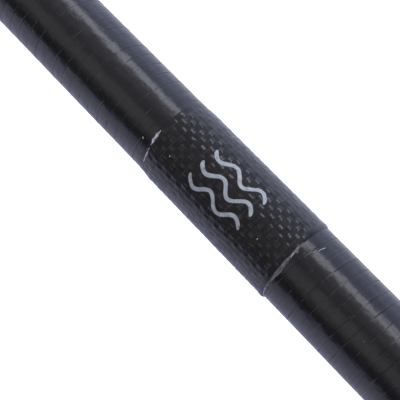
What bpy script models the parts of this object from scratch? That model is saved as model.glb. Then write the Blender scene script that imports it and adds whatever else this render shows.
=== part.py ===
"""A sculling oar: hatchet blade, carbon shaft in two tubes, sleeve with a sliding collar, adjustable handle.

The oar lies on the floor, z = 0, along X. Its handle points to -X and its blade to +X, hollow face down.
All sizes are in metres. Stations are places along X, measured from the middle of the oar.
"""

import math

import bmesh
import bpy
from mathutils import Vector

# Overall
OAR_LENGTH = 2.88
TIP = OAR_LENGTH / 2
HANDLE_END = -OAR_LENGTH / 2
INBOARD = 0.88  # from the handle's end to the collar's thrust face
GAP = 0.0003  # between two pieces that touch
MERGE = 0.0001
ROUND_STEPS = 48

# Shaft
SHAFT_RADIUS = 0.017
NECK_RADIUS = 0.0145
SHAFT_WALL = 0.0012
TAPER_START = 0.30
JOINT_STATION = 0.0
JOINT_SPIGOT_LENGTH = 0.16
BAND_LENGTH = 0.069
BAND_RADIUS = 0.01755
PLUG_LENGTH = 0.030
INBOARD_PLUG_STATION = -1.070  # the plugs' inboard ends
OUTBOARD_PLUG_STATION = 0.84
NECK_SPIGOT = (-0.085, 0.014)  # from the blade's neck to the two ends of the spigot
NECK_BAND = (-0.034, -0.001)
NECK_BAND_WALL = 0.001
SLOT_WIDTH = 0.002
SLOT_LENGTH = 0.030

# Blade
BLADE_LENGTH = 0.452
BLADE_ABOVE = 0.070  # from the shaft's axis to the edge that runs along the water
BLADE_BELOW = 0.145  # from the shaft's axis to the deep edge
SKIN = 0.0008
CORE_LENS = 0.0022
BLADE_DROP = 0.03954  # puts the tip's bead on the floor
DROP_POWER = 1.6
BLADE_CAMBER = 0.008
CORNER_ABOVE = 0.026
CORNER_BELOW = 0.048
TIP_BEAD_RADIUS = 0.0013
NECK_FLANGE = 0.0012  # how far the skins reach past the neck to either side
WIDEN_START = 0.02  # shares of the blade's length where it starts widening and how long that takes
WIDEN_ABOVE = 0.60
WIDEN_BELOW = 0.62
NECK_STRAIGHT = 0.045  # share of the blade's length where the neck is still a full tube
RIB_END = 0.74  # share of the blade's length where the rib on the back has faded out
FACE_RIB_END = 0.27

# Sleeve and collar
SLEEVE_RADIUS = 0.026
SLEEVE_FLAT = 0.0225  # from the axis to either flat
SLEEVE_INBOARD = 0.100  # how far the sleeve runs from the thrust face towards the handle
SLEEVE_OUTBOARD = 0.160  # and towards the blade
WEAR_PLATE_THICKNESS = 0.0012
WEAR_PLATE_WIDTH = 0.022
WEAR_PLATE_LENGTH = 0.110
WEAR_PLATE_MARGIN = 0.012  # from the sleeve's outboard end
COLLAR_FLANGE_RADIUS = 0.044
COLLAR_FLANGE_THICKNESS = 0.007
COLLAR_BODY_RADIUS = 0.0335
COLLAR_LENGTH = 0.042
COLLAR_EAR = (0.026, 0.024, 0.0425, 0.0125)  # length, nearest and furthest from the axis, half height
COLLAR_BOLT_RADIUS = 0.003
COLLAR_SPLIT = 0.003

# Handle
HANDLE_TUBE_RADIUS = 0.0154
HANDLE_TUBE_WALL = 0.0014
HANDLE_TUBE_LENGTH = 0.300
GRIP_LENGTH = 0.126
GRIP_RADIUS = 0.0172
SHAFT_END = HANDLE_END + 0.135
CLAMP_LENGTH = 0.018
CLAMP_RADIUS = 0.0225
CLAMP_EAR = (0.016, 0.0185, 0.0335, 0.0095)
CLAMP_BOLT_RADIUS = 0.0025
CLAMP_SPLIT = 0.002
CLAMP_SETBACK = 0.002  # from the shaft's end
CAP_FLANGE = 0.0030
CAP_RIM = 0.0010  # how far the end cap's rim stands out past the grip
CAP_STEM = 0.018
HANDLE_PLUG = (-0.018, -0.002)  # from the tube's inner end

# Fasteners, as shares of the bolt's radius
HEAD_RADIUS = 1.7
HEAD_HEIGHT = 2.0
SOCKET_FLOOR = 0.9
EAR_EDGE_TO_BOLT = 2.6
WASHER_RADIUS = 2.1
WASHER_THICKNESS = 0.4
NUT_CORNER = 1.93
NUT_HEIGHT = 1.5
SEAT_DEPTH = 0.0015

SPARE = 0.005  # how far a cutter reaches past what it cuts

# The axis stands above the floor by the collar's flange, and to the side by the blade's lopsided outline.
AXIS_Y = (BLADE_BELOW - BLADE_ABOVE) / 2
AXIS_Z = COLLAR_FLANGE_RADIUS
THRUST_FACE = HANDLE_END + INBOARD

FINISHES = {  # colour, roughness, metallic
    "carbon": ((0.018, 0.018, 0.022), 0.18, 0.0),
    "woven_carbon": ((0.03, 0.03, 0.036), 0.25, 0.0),
    "foam": ((0.62, 0.55, 0.40), 0.9, 0.0),
    "edge": ((0.72, 0.70, 0.62), 0.4, 0.0),
    "sleeve": ((0.03, 0.03, 0.032), 0.45, 0.0),
    "wear_plate": ((0.12, 0.12, 0.13), 0.35, 0.0),
    "collar": ((0.035, 0.035, 0.04), 0.4, 0.0),
    "clamp": ((0.30, 0.31, 0.33), 0.35, 1.0),
    "steel": ((0.62, 0.62, 0.64), 0.28, 1.0),
    "rubber": ((0.05, 0.08, 0.14), 0.85, 0.0),
    "cap": ((0.04, 0.04, 0.045), 0.5, 0.0),
}


# Scene and helpers


def clear_scene():
    for obj in list(bpy.data.objects):
        bpy.data.objects.remove(obj, do_unlink=True)


def new_collection(name):
    collection = bpy.data.collections.new(name)
    bpy.context.scene.collection.children.link(collection)
    return collection


def finish_material(name, finish):
    colour, roughness, metallic = FINISHES[finish]
    material = bpy.data.materials.new(name)
    material.use_nodes = True
    shader = material.node_tree.nodes["Principled BSDF"]
    shader.inputs["Base Color"].default_value = (*colour, 1.0)
    shader.inputs["Roughness"].default_value = roughness
    shader.inputs["Metallic"].default_value = metallic
    return material


def add_object(name, mesh, finish):
    """Adds a sub-part, or a cutter where finish is None."""
    obj = bpy.data.objects.new(name, mesh)
    if finish is None:
        CUTTERS.objects.link(obj)
        obj.hide_render = True
        obj.display_type = "WIRE"
    else:
        PARTS.objects.link(obj)
        mesh.materials.append(finish_material(name, finish))
    return obj


def mesh_object(name, bm, finish):
    mesh = bpy.data.meshes.new(name)
    bmesh.ops.recalc_face_normals(bm, faces=bm.faces)
    bm.to_mesh(mesh)
    bm.free()
    return add_object(name, mesh, finish)


def turned(name, profile, finish, closed=True, at=None, upright=False, steps=ROUND_STEPS):
    """Turns (radius, station) points, down the outer side first, about the shaft's axis.

    An upright piece turns about the vertical line through at instead, and its stations are heights above at.
    """
    mesh = bpy.data.meshes.new(name)
    bm = bmesh.new()
    verts = [bm.verts.new((radius, 0.0, station)) for radius, station in profile]
    for start, end in zip(verts, verts[1:]):
        bm.edges.new((start, end))
    if closed:
        bm.edges.new((verts[-1], verts[0]))
    bm.to_mesh(mesh)
    bm.free()
    obj = add_object(name, mesh, finish)
    obj.location = at or (0.0, AXIS_Y, AXIS_Z)
    if not upright:
        obj.rotation_euler = (0.0, math.pi / 2, 0.0)
    screw = obj.modifiers.new("turn", "SCREW")
    screw.steps = steps
    screw.render_steps = steps
    screw.use_merge_vertices = True
    screw.merge_threshold = MERGE
    return obj


def tube(name, low, high, outer, inner, finish):
    return turned(name, [(outer, high), (outer, low), (inner, low), (inner, high)], finish)


def plug(name, low, high, radius, finish):
    return turned(name, [(0.0, high), (radius, high), (radius, low), (0.0, low)], finish, closed=False)


def box(name, low, high, finish=None, rounding=0.0):
    """A box between two corners, with its edges rounded where rounding is given."""
    bm = bmesh.new()
    bmesh.ops.create_cube(bm, size=1.0)
    low, high = Vector(low), Vector(high)
    bmesh.ops.scale(bm, vec=high - low, verts=bm.verts)
    obj = mesh_object(name, bm, finish)
    obj.location = (low + high) / 2
    if rounding:
        bevel = obj.modifiers.new("round", "BEVEL")
        bevel.width = rounding
        bevel.segments = 3
    return obj


def rod(name, radius, start, end, finish=None, segments=24):
    """A straight rod between two points. Six segments make a hexagon, whose corners lie at the radius."""
    start, end = Vector(start), Vector(end)
    bm = bmesh.new()
    bmesh.ops.create_cone(
        bm, cap_ends=True, segments=segments, radius1=radius, radius2=radius, depth=(end - start).length
    )
    bmesh.ops.rotate(bm, matrix=(end - start).to_track_quat("Z", "Y").to_matrix(), verts=bm.verts)
    obj = mesh_object(name, bm, finish)
    obj.location = (start + end) / 2
    return obj


def combine(obj, tool, operation="DIFFERENCE"):
    modifier = obj.modifiers.new(tool.name, "BOOLEAN")
    modifier.operation = operation
    modifier.solver = "EXACT"
    modifier.object = tool


def smooth(value):
    """Rises from 0 to 1 as value does, level at both ends."""
    value = min(max(value, 0.0), 1.0)
    return value * value * (3 - 2 * value)


# Blade: every surface is measured from one sheet, the middle surface, which curves down towards the tip


def blade_edges(share):
    """The outline's two edges, measured from the axis along Y, at a share of the blade's length."""
    flange = NECK_RADIUS + NECK_FLANGE
    above = flange + (BLADE_ABOVE - flange) * smooth((share - WIDEN_START) / WIDEN_ABOVE)
    below = flange + (BLADE_BELOW - flange) * smooth((share - WIDEN_START) / WIDEN_BELOW)
    from_tip = (1 - share) * BLADE_LENGTH
    for_above = max(CORNER_ABOVE - from_tip, 0.0)
    for_below = max(CORNER_BELOW - from_tip, 0.0)
    above -= CORNER_ABOVE - math.sqrt(CORNER_ABOVE**2 - for_above**2)
    below -= CORNER_BELOW - math.sqrt(CORNER_BELOW**2 - for_below**2)
    return -below, above


def middle_height(share, y):
    """Height of the middle surface above the shaft's axis."""
    low, high = blade_edges(min(share, 1 - CORNER_BELOW / BLADE_LENGTH))
    across = (y - (low + high) / 2) / ((high - low) / 2)
    drop = BLADE_DROP * max(share - NECK_STRAIGHT, 0.0) ** DROP_POWER
    return -drop - BLADE_CAMBER * smooth(share / 0.6) * across**2


def lens(share, y):
    """Half the thickness of the foam between the skins, none at the blade's edge."""
    low, high = blade_edges(share)
    across = (y - (low + high) / 2) / ((high - low) / 2)
    ends = smooth((share - 0.10) / 0.20) * smooth((0.99 - share) / 0.12)
    return CORE_LENS * ends * max(1 - across**2, 0.0)


def rib_size(share, fade):
    """Half width and height of the rib that carries the tubular neck into the blade."""
    faded = smooth((share - NECK_STRAIGHT) / (fade - NECK_STRAIGHT))
    height = (NECK_RADIUS - SKIN - GAP / 2) * (1 - faded)
    half_width = NECK_RADIUS * (1 - 0.45 * smooth((share - NECK_STRAIGHT) / RIB_END))
    return half_width, height


def blade_row(share, inset):
    """Points across the blade as (y, height of the rib's arch from 0 to 1), denser over the rib."""
    half_width = rib_size(share, RIB_END)[0] - inset
    low, high = blade_edges(share)
    flat, arch = 4, 8
    row = [(low + (-half_width - low) * i / flat, 0.0) for i in range(flat)]
    for i in range(arch + 1):
        angle = math.pi * i / arch
        row.append((-half_width * math.cos(angle), math.sin(angle)))
    row += [(half_width + (high - half_width) * i / flat, 0.0) for i in range(1, flat + 1)]
    return row


def blade_shares(first, last, count):
    """Shares of the blade's length, closer together near both ends."""
    return [first + (last - first) * (1 - math.cos(math.pi * i / count)) / 2 for i in range(count + 1)]


def blade_point(share, y, height):
    return Vector((NECK_END + share * BLADE_LENGTH, AXIS_Y + y, AXIS_Z + middle_height(share, y) + height))


def sheet(bm, rows):
    """Joins rows of points, each as long as the next, into a grid of faces."""
    grid = [[bm.verts.new(point) for point in row] for row in rows]
    for row, after in zip(grid, grid[1:]):
        for i in range(len(row) - 1):
            bm.faces.new((row[i], row[i + 1], after[i + 1], after[i]))
    return grid


def grid_rim(grid):
    """The outermost points of a grid, in order round it."""
    right = [row[-1] for row in grid[1:]]
    left = [row[0] for row in grid[-2:0:-1]]
    return grid[0] + right + grid[-1][-2::-1] + left


def blade_skin(name, side, fade):
    """One moulded skin: its outer surface, thickened inwards. side is 1 for the back and -1 for the face."""
    rows = []
    for share in blade_shares(0.0, 1.0, 24):
        height = rib_size(share, fade)[1]
        row = []
        for y, arch in blade_row(share, 0.0):
            thickness = lens(share, y) + SKIN + GAP / 2 + height * arch
            row.append(blade_point(share, y, side * thickness))
        rows.append(row)
    bm = bmesh.new()
    sheet(bm, rows)
    mesh = bpy.data.meshes.new(name)
    bmesh.ops.recalc_face_normals(bm, faces=bm.faces)
    if bm.faces[:][len(bm.faces) // 2].normal.z * side < 0:
        bmesh.ops.reverse_faces(bm, faces=bm.faces)
    bm.to_mesh(mesh)
    bm.free()
    mesh.shade_smooth()
    obj = add_object(name, mesh, "woven_carbon")
    shell = obj.modifiers.new("thickness", "SOLIDIFY")
    shell.thickness = SKIN
    shell.offset = -1.0
    return obj


def blade_core():
    """The foam between the skins, a closed loft that stays inside both."""
    inset = SKIN + 3 * GAP
    narrower, lower_arch, thinnest = 0.80, 0.9, 0.0001
    top, bottom = [], []
    for share in blade_shares(0.12, 0.94, 16):
        back, face = rib_size(share, RIB_END)[1], rib_size(share, FACE_RIB_END)[1]
        upper, lower = [], []
        for y, arch in blade_row(share, inset):
            y *= narrower
            thin = max(lens(share, y) - GAP, thinnest)
            arch *= lower_arch
            upper.append(blade_point(share, y, thin + max(back - inset, 0.0) * arch))
            lower.append(blade_point(share, y, -thin - max(face - inset, 0.0) * arch))
        top.append(upper)
        bottom.append(lower)
    bm = bmesh.new()
    above, below = sheet(bm, top), sheet(bm, bottom)
    rim_above, rim_below = grid_rim(above), grid_rim(below)
    count = len(rim_above)
    for i in range(count):
        j = (i + 1) % count
        bm.faces.new((rim_above[i], rim_above[j], rim_below[j], rim_below[i]))
    return mesh_object("blade_core", bm, "foam")


def blade_tip_edge():
    """A bead round the end of the blade and part of both corners, which takes the knocks."""
    stand_off = TIP_BEAD_RADIUS + GAP
    low, high = blade_edges(0.8)
    turn = math.radians(60)
    steps = 6
    arcs = []
    for corner, edge, side in ((CORNER_BELOW, low, -1), (CORNER_ABOVE, high, 1)):
        arc = []
        for i in range(steps + 1):
            angle = turn * (1 - i / steps)
            from_tip = (corner + stand_off) * (1 - math.cos(angle))
            out = (corner + stand_off) * math.sin(angle) - corner
            arc.append((from_tip, edge + side * out))
        arcs.append(arc)
    below, above = arcs[0], arcs[1][::-1]
    start, end = below[-1][1], above[0][1]
    # between the corners it needs points of its own to follow the blade's camber
    across = 14
    path = below + [(0.0, start + (end - start) * i / across) for i in range(1, across)] + above
    curve = bpy.data.curves.new("blade_tip_edge", "CURVE")
    curve.dimensions = "3D"
    curve.bevel_depth = TIP_BEAD_RADIUS
    curve.bevel_resolution = 2
    curve.use_fill_caps = True
    spline = curve.splines.new("POLY")
    spline.points.add(len(path) - 1)
    for point, (from_tip, y) in zip(spline.points, path):
        height = AXIS_Z + middle_height(1 - from_tip / BLADE_LENGTH, y)
        point.co = (TIP - TIP_BEAD_RADIUS - from_tip, AXIS_Y + y, height, 1.0)
    obj = bpy.data.objects.new("blade_tip_edge", curve)
    PARTS.objects.link(obj)
    curve.materials.append(finish_material("blade_tip_edge", "edge"))
    return obj


# Shaft


def make_shaft():
    bore = SHAFT_RADIUS - SHAFT_WALL
    neck_bore = NECK_RADIUS - SHAFT_WALL
    start = JOINT_STATION + GAP / 2
    end = NECK_END - GAP
    turned(
        "outboard_tube",
        [
            (NECK_RADIUS, end),
            (SHAFT_RADIUS, TAPER_START),
            (SHAFT_RADIUS, start),
            (bore, start),
            (bore, TAPER_START),
            (neck_bore, end),
        ],
        "carbon",
    )
    inboard = tube("inboard_tube", SHAFT_END, JOINT_STATION - GAP / 2, SHAFT_RADIUS, bore, "carbon")
    reach = SHAFT_RADIUS + SPARE
    thin = SLOT_WIDTH / 2
    for name, half_y, half_z in (("shaft_slot_y", reach, thin), ("shaft_slot_z", thin, reach)):
        slot = box(
            name,
            (SHAFT_END - SPARE, AXIS_Y - half_y, AXIS_Z - half_z),
            (SHAFT_END + SLOT_LENGTH, AXIS_Y + half_y, AXIS_Z + half_z),
        )
        combine(inboard, slot)

    fit = bore - GAP
    half = JOINT_SPIGOT_LENGTH / 2
    tube("joint_spigot", JOINT_STATION - half, JOINT_STATION + half, fit, fit - SHAFT_WALL, "carbon")
    half = BAND_LENGTH / 2
    low, high = JOINT_STATION - half, JOINT_STATION + half
    tube("woven_joint_band", low, high, BAND_RADIUS, SHAFT_RADIUS + GAP, "woven_carbon")

    low = INBOARD_PLUG_STATION
    plug("inboard_foam_plug", low, low + PLUG_LENGTH, fit, "foam")
    low = OUTBOARD_PLUG_STATION
    plug("outboard_foam_plug", low, low + PLUG_LENGTH, neck_bore, "foam")
    spigot = neck_bore - 2 * GAP
    low, high = (NECK_END + offset for offset in NECK_SPIGOT)
    tube("neck_spigot", low, high, spigot, spigot - SHAFT_WALL, "carbon")
    low, high = (NECK_END + offset for offset in NECK_BAND)
    tube("neck_band", low, high, NECK_RADIUS + NECK_BAND_WALL, NECK_RADIUS + 2 * GAP, "woven_carbon")


# Fasteners: each stands upright, its origin on its own axis, at the face that its head bears on


def cap_screw(name, seat, radius, length):
    head_radius, head_height, edge = radius * HEAD_RADIUS, radius * HEAD_HEIGHT, 0.0004
    screw = turned(
        name,
        [
            (0.0, head_height),
            (head_radius - edge, head_height),
            (head_radius, head_height - edge),
            (head_radius, 0.0),
            (radius, 0.0),
            (radius, edge - length),
            (radius - edge, -length),
            (0.0, -length),
        ],
        "steel",
        closed=False,
        at=seat,
        upright=True,
        steps=24,
    )
    seat = Vector(seat)
    socket_floor = seat + Vector((0, 0, radius * SOCKET_FLOOR))
    over = seat + Vector((0, 0, head_height + SPARE))
    combine(screw, rod(name + "_socket", radius, socket_floor, over, segments=6))


def washer(name, seat, bore, outer, thickness):
    profile = [(outer, thickness), (outer, 0.0), (bore, 0.0), (bore, thickness)]
    turned(name, profile, "steel", at=seat, upright=True, steps=24)


def hex_nut(name, top, bore, corner, height):
    top = Vector(top)
    nut = rod(name, corner, top - Vector((0, 0, height)), top, "steel", segments=6)
    hole = rod(name + "_thread", bore, top - Vector((0, 0, height + SPARE)), top + Vector((0, 0, SPARE)))
    combine(nut, hole)


def clamp_up(ring, name, station, bore, ear, bolt_radius, slot):
    """Opens a ring's bore, splits it, and adds the ears, upright bolt, washer and nut that close it.

    The ears stand on the ring's -Y side. ear is their length along X, their nearest and furthest distances
    from the axis, and half their height.
    """
    length, near, far, half_height = ear
    ears = box(
        name + "_ears",
        (station - length / 2, AXIS_Y - far, AXIS_Z - half_height),
        (station + length / 2, AXIS_Y - near, AXIS_Z + half_height),
        rounding=0.002,
    )
    combine(ring, ears, "UNION")
    bolt_y = AXIS_Y - far + bolt_radius * EAR_EDGE_TO_BOLT
    hole = bolt_radius + GAP
    washer_radius = bolt_radius * WASHER_RADIUS
    washer_thickness = bolt_radius * WASHER_THICKNESS
    corner = bolt_radius * NUT_CORNER
    nut_height = bolt_radius * NUT_HEIGHT
    seat = Vector((station, bolt_y, AXIS_Z + half_height - SEAT_DEPTH))
    under = Vector((station, bolt_y, AXIS_Z - half_height))
    above = Vector((0, 0, 2 * SPARE))
    pocket_top = under + Vector((0, 0, nut_height + GAP))
    cuts = [
        bore,
        rod(name + "_hole", hole + GAP, under - above, seat + above),
        rod(name + "_seat", washer_radius + 2 * GAP, seat, seat + above, segments=32),
        rod(name + "_pocket", corner + 2 * GAP, under - above, pocket_top, segments=6),
        box(
            name + "_split",
            (station - length, AXIS_Y - far - SPARE, AXIS_Z - slot / 2),
            (station + length, AXIS_Y - near / 2, AXIS_Z + slot / 2),
        ),
    ]
    for cut in cuts:
        combine(ring, cut)
    washer(name + "_washer", seat + Vector((0, 0, GAP)), hole, washer_radius, washer_thickness)
    head_seat = seat + Vector((0, 0, washer_thickness + 2 * GAP))
    cap_screw(name + "_bolt", head_seat, bolt_radius, head_seat.z - under.z - 0.001)
    hex_nut(name + "_nut", under + Vector((0, 0, nut_height)), hole, corner, nut_height)


# Sleeve and collar


def d_outline(grow):
    """The sleeve's section: a circle with one flat towards +Y and one towards +Z, all moved out by grow."""
    radius, flat = SLEEVE_RADIUS + grow, SLEEVE_FLAT + grow
    flat_end = math.acos(flat / radius)
    arcs = [(flat_end, math.pi / 2 - flat_end, 4), (math.pi / 2 + flat_end, 2 * math.pi - flat_end, 30)]
    points = []
    for first, last, count in arcs:
        for i in range(count + 1):
            angle = first + (last - first) * i / count
            points.append((AXIS_Y + radius * math.cos(angle), AXIS_Z + radius * math.sin(angle)))
    return points


def d_prism(name, low, high, grow, finish=None):
    bm = bmesh.new()
    base = bm.faces.new([bm.verts.new((low, y, z)) for y, z in d_outline(grow)])
    swept = bmesh.ops.extrude_face_region(bm, geom=[base])["geom"]
    moved = [item for item in swept if isinstance(item, bmesh.types.BMVert)]
    bmesh.ops.translate(bm, vec=(high - low, 0, 0), verts=moved)
    return mesh_object(name, bm, finish)


def make_sleeve():
    low, high = THRUST_FACE - SLEEVE_INBOARD, THRUST_FACE + SLEEVE_OUTBOARD
    sleeve = d_prism("oar_sleeve", low, high, 0.0, "sleeve")
    bevel = sleeve.modifiers.new("end_taper", "BEVEL")
    bevel.width = 0.004
    bevel.segments = 2
    bevel.limit_method = "ANGLE"
    bevel.angle_limit = math.radians(60)
    axis_low = Vector((low - SPARE, AXIS_Y, AXIS_Z))
    axis_high = Vector((high + SPARE, AXIS_Y, AXIS_Z))
    combine(sleeve, rod("sleeve_bore", SHAFT_RADIUS + GAP, axis_low, axis_high, segments=ROUND_STEPS))

    plate_high = high - WEAR_PLATE_MARGIN
    plate_low = plate_high - WEAR_PLATE_LENGTH
    half = WEAR_PLATE_WIDTH / 2
    floor = SLEEVE_FLAT - WEAR_PLATE_THICKNESS
    for name, towards_z in (("drive_wear_plate", True), ("feather_wear_plate", False)):
        plate = ("", floor, SLEEVE_FLAT, 0.0)
        recess = ("_recess", floor - GAP, SLEEVE_FLAT + SPARE, GAP)
        for role, near, far, spare in (plate, recess):
            side = half + spare
            across = (-side, side)
            out = (near, far)
            y = across if towards_z else out
            z = out if towards_z else across
            piece = box(
                name + role,
                (plate_low - spare, AXIS_Y + y[0], AXIS_Z + z[0]),
                (plate_high + spare, AXIS_Y + y[1], AXIS_Z + z[1]),
                None if role else "wear_plate",
            )
            if role:
                combine(sleeve, piece)


def make_collar():
    low, flange = THRUST_FACE - COLLAR_LENGTH, THRUST_FACE - COLLAR_FLANGE_THICKNESS
    edge, fillet = 0.0012, 0.003
    ring = turned(
        "collar_ring",
        [
            (0.0, THRUST_FACE),
            (COLLAR_FLANGE_RADIUS - edge, THRUST_FACE),
            (COLLAR_FLANGE_RADIUS, THRUST_FACE - edge),
            (COLLAR_FLANGE_RADIUS, flange + edge),
            (COLLAR_FLANGE_RADIUS - edge, flange),
            (COLLAR_BODY_RADIUS + fillet, flange),
            (COLLAR_BODY_RADIUS, flange - fillet),
            (COLLAR_BODY_RADIUS, low + edge),
            (COLLAR_BODY_RADIUS - edge, low),
            (0.0, low),
        ],
        "collar",
        closed=False,
    )
    bore = d_prism("collar_bore", low - SPARE, THRUST_FACE + SPARE, GAP)
    clamp_up(ring, "collar", (low + flange) / 2, bore, COLLAR_EAR, COLLAR_BOLT_RADIUS, COLLAR_SPLIT)


# Handle


def make_handle():
    low = HANDLE_END + CAP_FLANGE + GAP
    high = low + HANDLE_TUBE_LENGTH
    bore = HANDLE_TUBE_RADIUS - HANDLE_TUBE_WALL
    tube("handle_tube", low, high, HANDLE_TUBE_RADIUS, bore, "carbon")
    plug_low, plug_high = (high + offset for offset in HANDLE_PLUG)
    plug("handle_foam_plug", plug_low, plug_high, bore - GAP, "foam")

    grip_high = low + GRIP_LENGTH
    most_swell, most_flare, flare_share = 0.0007, 0.0012, 0.12
    count = 7
    profile = []
    for i in range(count + 1):
        share = i / count
        swell = most_swell * math.sin(math.pi * share)
        flare = most_flare * smooth((share - 1 + flare_share) / flare_share)
        profile.append((GRIP_RADIUS + swell + flare, grip_high - share * GRIP_LENGTH))
    inner = HANDLE_TUBE_RADIUS + GAP
    turned("rubber_grip", [*profile, (inner, low), (inner, grip_high)], "rubber")

    rim = GRIP_RADIUS + CAP_RIM
    stem = bore - GAP
    edge = 0.0012
    turned(
        "handle_end_cap",
        [
            (0.0, low + CAP_STEM),
            (stem, low + CAP_STEM),
            (stem, low - GAP),
            (rim, low - GAP),
            (rim, HANDLE_END + edge),
            (rim - edge, HANDLE_END),
            (0.0, HANDLE_END),
        ],
        "cap",
        closed=False,
    )

    clamp_low = SHAFT_END + CLAMP_SETBACK
    clamp_high = clamp_low + CLAMP_LENGTH
    edge = 0.0006
    ring = turned(
        "handle_clamp_ring",
        [
            (0.0, clamp_high),
            (CLAMP_RADIUS - edge, clamp_high),
            (CLAMP_RADIUS, clamp_high - edge),
            (CLAMP_RADIUS, clamp_low + edge),
            (CLAMP_RADIUS - edge, clamp_low),
            (0.0, clamp_low),
        ],
        "clamp",
        closed=False,
    )
    axis_low = Vector((clamp_low - SPARE, AXIS_Y, AXIS_Z))
    axis_high = Vector((clamp_high + SPARE, AXIS_Y, AXIS_Z))
    bore = rod("handle_clamp_bore", SHAFT_RADIUS + GAP, axis_low, axis_high, segments=ROUND_STEPS)
    station = clamp_low + CLAMP_LENGTH / 2
    clamp_up(ring, "handle_clamp", station, bore, CLAMP_EAR, CLAMP_BOLT_RADIUS, CLAMP_SPLIT)


NECK_END = TIP - 2 * TIP_BEAD_RADIUS - GAP - BLADE_LENGTH

clear_scene()
PARTS = new_collection("rowing_oar")
CUTTERS = new_collection("cutters")
blade_skin("blade_back_skin", 1, RIB_END)
blade_skin("blade_face_skin", -1, FACE_RIB_END)
blade_core()
blade_tip_edge()
make_shaft()
make_sleeve()
make_collar()
make_handle()
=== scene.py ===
import math

import bmesh
import bpy
import numpy as np
from mathutils import Matrix, Vector


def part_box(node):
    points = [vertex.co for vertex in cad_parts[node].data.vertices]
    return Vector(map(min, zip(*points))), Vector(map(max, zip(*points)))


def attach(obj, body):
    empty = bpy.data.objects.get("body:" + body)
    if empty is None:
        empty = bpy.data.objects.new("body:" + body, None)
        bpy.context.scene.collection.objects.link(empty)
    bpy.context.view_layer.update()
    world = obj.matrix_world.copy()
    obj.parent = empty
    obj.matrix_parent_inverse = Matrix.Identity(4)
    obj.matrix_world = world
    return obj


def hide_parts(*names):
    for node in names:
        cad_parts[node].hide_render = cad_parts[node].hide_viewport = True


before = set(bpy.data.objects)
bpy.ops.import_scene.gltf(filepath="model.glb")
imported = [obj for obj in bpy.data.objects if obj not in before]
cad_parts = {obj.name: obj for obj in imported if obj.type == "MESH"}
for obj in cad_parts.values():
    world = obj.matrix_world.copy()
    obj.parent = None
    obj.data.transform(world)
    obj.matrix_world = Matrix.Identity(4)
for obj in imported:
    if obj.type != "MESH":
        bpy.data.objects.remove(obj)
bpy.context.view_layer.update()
MM = 0.001
FULL_TURN = 2 * math.pi

# The tube's axis, from the band that lies round it
BAND_LOW, BAND_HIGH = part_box("woven_joint_band")
AXIS_Y = (BAND_LOW.y + BAND_HIGH.y) / 2
AXIS_Z = (BAND_LOW.z + BAND_HIGH.z) / 2

# Radii and lengths of the shaft, the same as in the CAD part
TUBE_RADIUS = 17.0 * MM
NECK_RADIUS = 14.5 * MM
TUBE_WALL = 1.2 * MM
TAPER_START = 0.30
TAPE_PITCH = 5.3 * MM
RIDGE_OFFSETS = (0.0, 0.25 * MM, 1.0 * MM, 2.65 * MM, 4.3 * MM, 5.05 * MM)
RIDGE_HEIGHT = 0.085 * MM
RIDGE_FADE = 3 * MM
DRIFTS_PER_TURN = 5.0
TAPE_CROWN = 0.012 * MM
TUBE_COLUMNS = 64
SLOT_COUNT = 4
SLOT_WIDTH = 2.0 * MM
SLOT_LENGTH = 30.0 * MM
PLAIN_END = 44.0 * MM
TINY = 1e-7


# ------------------------ node trees

# The Mix node's two inputs and its output, for colours and for plain numbers
MIX_SOCKETS = {"RGBA": (6, 7, 2), "FLOAT": (2, 3, 0)}


def new_material(name):
    """A material with one shader, whose patterns read the object's own space."""
    material = bpy.data.materials.new(name)
    material.use_nodes = True
    tree = material.node_tree
    tree.nodes.clear()
    output = tree.nodes.new("ShaderNodeOutputMaterial")
    shader = tree.nodes.new("ShaderNodeBsdfPrincipled")
    tree.links.new(shader.outputs["BSDF"], output.inputs["Surface"])
    tree.nodes.new("ShaderNodeTexCoord")
    return material, tree


def own_point(tree):
    return tree.nodes["Texture Coordinate"].outputs["Object"]


def put(tree, socket, value):
    """Links a socket, or sets a plain value."""
    if isinstance(value, bpy.types.NodeSocket):
        tree.links.new(value, socket)
    elif socket.type == "RGBA":
        socket.default_value = (*value, 1.0)
    else:
        socket.default_value = value


def fill(tree, made, values):
    """Links or sets inputs of a node."""
    for key, value in values.items():
        put(tree, made.inputs[key], value)


def shading(tree, values):
    """Links or sets inputs of a material's shader."""
    fill(tree, tree.nodes["Principled BSDF"], values)


def surface(tree, colour, roughness, normal=None, specular=0.5):
    shading(tree, {"Base Color": colour, "Roughness": roughness, "Specular IOR Level": specular})
    if normal is not None:
        shading(tree, {"Normal": normal})


def node(tree, kind, inputs=None, **settings):
    made = tree.nodes.new("ShaderNode" + kind)
    for key, value in settings.items():
        setattr(made, key, value)
    fill(tree, made, inputs or {})
    return made


def maths(tree, operation, *values):
    return node(tree, "Math", dict(enumerate(values)), operation=operation).outputs[0]


def times(tree, first, second):
    return maths(tree, "MULTIPLY", first, second)


def ramp(tree, value, low, high, start=0.0, end=1.0, smooth=True):
    """start where value is at low, end where it is at high."""
    kind = "SMOOTHSTEP" if smooth else "LINEAR"
    inputs = dict(enumerate((value, low, high, start, end)))
    return node(tree, "MapRange", inputs, interpolation_type=kind).outputs[0]


def between(tree, share, start, end):
    """start where share is 0, end where it is 1, and straight in between."""
    return ramp(tree, share, 0.0, 1.0, start, end, smooth=False)


def mix(tree, share, first, second, kind="RGBA"):
    """first where share is 0, second where it is 1."""
    start, end, result = MIX_SOCKETS[kind]
    made = node(tree, "Mix", data_type=kind)
    fill(tree, made, {0: share, start: first, end: second})
    return made.outputs[result]


def blend(tree, value, low, high, first, second, most=1.0):
    """first turning to second, up to a share of most, as value goes from low to high."""
    return mix(tree, ramp(tree, value, low, high, 0.0, most), first, second)


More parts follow.
